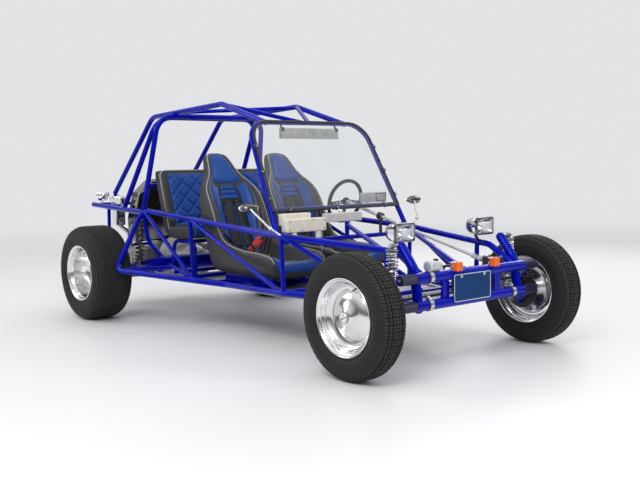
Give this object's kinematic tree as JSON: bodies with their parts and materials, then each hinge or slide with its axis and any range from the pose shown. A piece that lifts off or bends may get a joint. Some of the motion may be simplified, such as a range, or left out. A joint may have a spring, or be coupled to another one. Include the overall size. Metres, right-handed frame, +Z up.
{
  "type": "dune buggy",
  "caption": "Open tube-frame dune buggy with side-braced roll cage, bucket seats, rear bench, beam front axle and rear-mounted air-cooled engine.",
  "frame": {"origin": "on the ground under the middle of the vehicle's bounding box", "axes": "+X forward, +Y to the driver's left, +Z up"},
  "size_m": [3.714, 1.906, 1.5443],
  "materials": {
    "frame_paint": "gloss",
    "spring_chrome": "polished",
    "black_steel": "satin",
    "steering_trim": "satin",
    "cast_alloy": "as cast",
    "chrome": "polished",
    "exhaust_steel": "heat tinted",
    "floor_plate": "tread plate",
    "panel_paint": "satin",
    "cream_vinyl": "smooth",
    "seat_vinyl": "soft sheen",
    "clear_pane": "clear",
    "amber_lens": "clear moulded",
    "plate_paint": "gloss",
    "tyre_rubber": "matt",
    "polished_alloy": "polished"
  },
  "bodies": {
    "chassis": {"bottom_rails": "frame_paint", "waist_rails": "frame_paint", "side_bars": "frame_paint", "side_braces": "frame_paint", "rear_struts": "frame_paint", "rear_cage": "frame_paint", "roll_hoops": "frame_paint", "roof_rails": "frame_paint", "roof_braces": "frame_paint", "windshield_frame": "frame_paint", "floor_crossmembers": "frame_paint", "cowl_frame": "frame_paint", "nose_brace": "frame_paint", "bench_frame": "frame_paint", "seat_rails": "frame_paint", "front_beam": "frame_paint", "torsion_housing": "frame_paint", "front_arms": "frame_paint", "rear_arms": "frame_paint", "front_shocks": "spring_chrome", "rear_shocks": "spring_chrome", "half_shafts": "black_steel", "steering_box": "black_steel", "column_bearing": "black_steel", "pedals": "black_steel", "shifter": "black_steel", "generator": "black_steel", "transaxle": "cast_alloy", "engine_case": "cast_alloy", "cylinder_banks": "cast_alloy", "reservoir": "cast_alloy", "fan_shroud": "chrome", "carburettors": "chrome", "headlamps": "chrome", "rear_lamps": "chrome", "mirrors": "chrome", "exhaust": "exhaust_steel", "floor_pan": "floor_plate", "dash_panel": "panel_paint", "glove_box": "cream_vinyl", "seat_left": "seat_vinyl", "seat_right": "seat_vinyl", "rear_bench": "seat_vinyl", "windshield_pane": "clear_pane", "indicators": "amber_lens", "number_plate": "plate_paint"},
    "knuckle_left": {"knuckle_left": "black_steel"},
    "knuckle_right": {"knuckle_right": "black_steel"},
    "wheel_front_left": {"tyre_front_left": "tyre_rubber", "wheel_front_left": "polished_alloy"},
    "wheel_front_right": {"tyre_front_right": "tyre_rubber", "wheel_front_right": "polished_alloy"},
    "wheel_rear_left": {"tyre_rear_left": "tyre_rubber", "wheel_rear_left": "polished_alloy"},
    "wheel_rear_right": {"tyre_rear_right": "tyre_rubber", "wheel_rear_right": "polished_alloy"},
    "pitman": {"pitman_arm": "black_steel"},
    "tie_rod_left": {"tie_rod_left": "black_steel"},
    "tie_rod_right": {"tie_rod_right": "black_steel"},
    "steering_wheel": {"steering_wheel": "steering_trim"}
  },
  "joints": [
    {"name": "steer_left", "type": "hinge", "parent": "chassis", "child": "knuckle_left", "pos_m": [1.525, 0.625, 0.328], "axis": [0, 0, 1], "range_deg": [-28, 28]},
    {"name": "steer_right", "type": "hinge", "parent": "chassis", "child": "knuckle_right", "pos_m": [1.525, -0.625, 0.328], "axis": [0, 0, 1], "range_deg": [-29, 29]},
    {"name": "pitman_turn", "type": "hinge", "parent": "chassis", "child": "pitman", "pos_m": [1.525, 0.27, 0.41], "axis": [0, 0, 1], "range_deg": [-29, 29]},
    {"name": "tie_rod_left_swing", "type": "hinge", "parent": "knuckle_left", "child": "tie_rod_left", "pos_m": [1.62, 0.625, 0.426], "axis": [0, 0, 1], "range_deg": [-29, 29]},
    {"name": "tie_rod_right_swing", "type": "hinge", "parent": "knuckle_right", "child": "tie_rod_right", "pos_m": [1.62, -0.625, 0.394], "axis": [0, 0, 1], "range_deg": [-29, 29]},
    {"name": "steering_wheel_turn", "type": "hinge", "parent": "chassis", "child": "steering_wheel", "pos_m": [0.345, 0.27, 0.856], "axis": [-0.9667, 0, 0.2559], "range_deg": [-400, 400]},
    {"name": "front_left_roll", "type": "hinge", "parent": "knuckle_left", "child": "wheel_front_left", "pos_m": [1.525, 0.73, 0.328], "axis": [0, 1, 0], "continuous": true},
    {"name": "front_right_roll", "type": "hinge", "parent": "knuckle_right", "child": "wheel_front_right", "pos_m": [1.525, -0.73, 0.328], "axis": [0, 1, 0], "continuous": true},
    {"name": "rear_left_roll", "type": "hinge", "parent": "chassis", "child": "wheel_rear_left", "pos_m": [-1.244, 0.808, 0.343], "axis": [0, 1, 0], "continuous": true},
    {"name": "rear_right_roll", "type": "hinge", "parent": "chassis", "child": "wheel_rear_right", "pos_m": [-1.244, -0.808, 0.343], "axis": [0, 1, 0], "continuous": true}
  ],
  "couplings": [
    {"joint": "steer_right", "follows": "steer_left", "ratio": 1},
    {"joint": "pitman_turn", "follows": "steer_left", "ratio": 1},
    {"joint": "tie_rod_left_swing", "follows": "steer_left", "ratio": -1},
    {"joint": "tie_rod_right_swing", "follows": "steer_left", "ratio": -1},
    {"joint": "steering_wheel_turn", "follows": "steer_left", "ratio": 14}
  ]
}
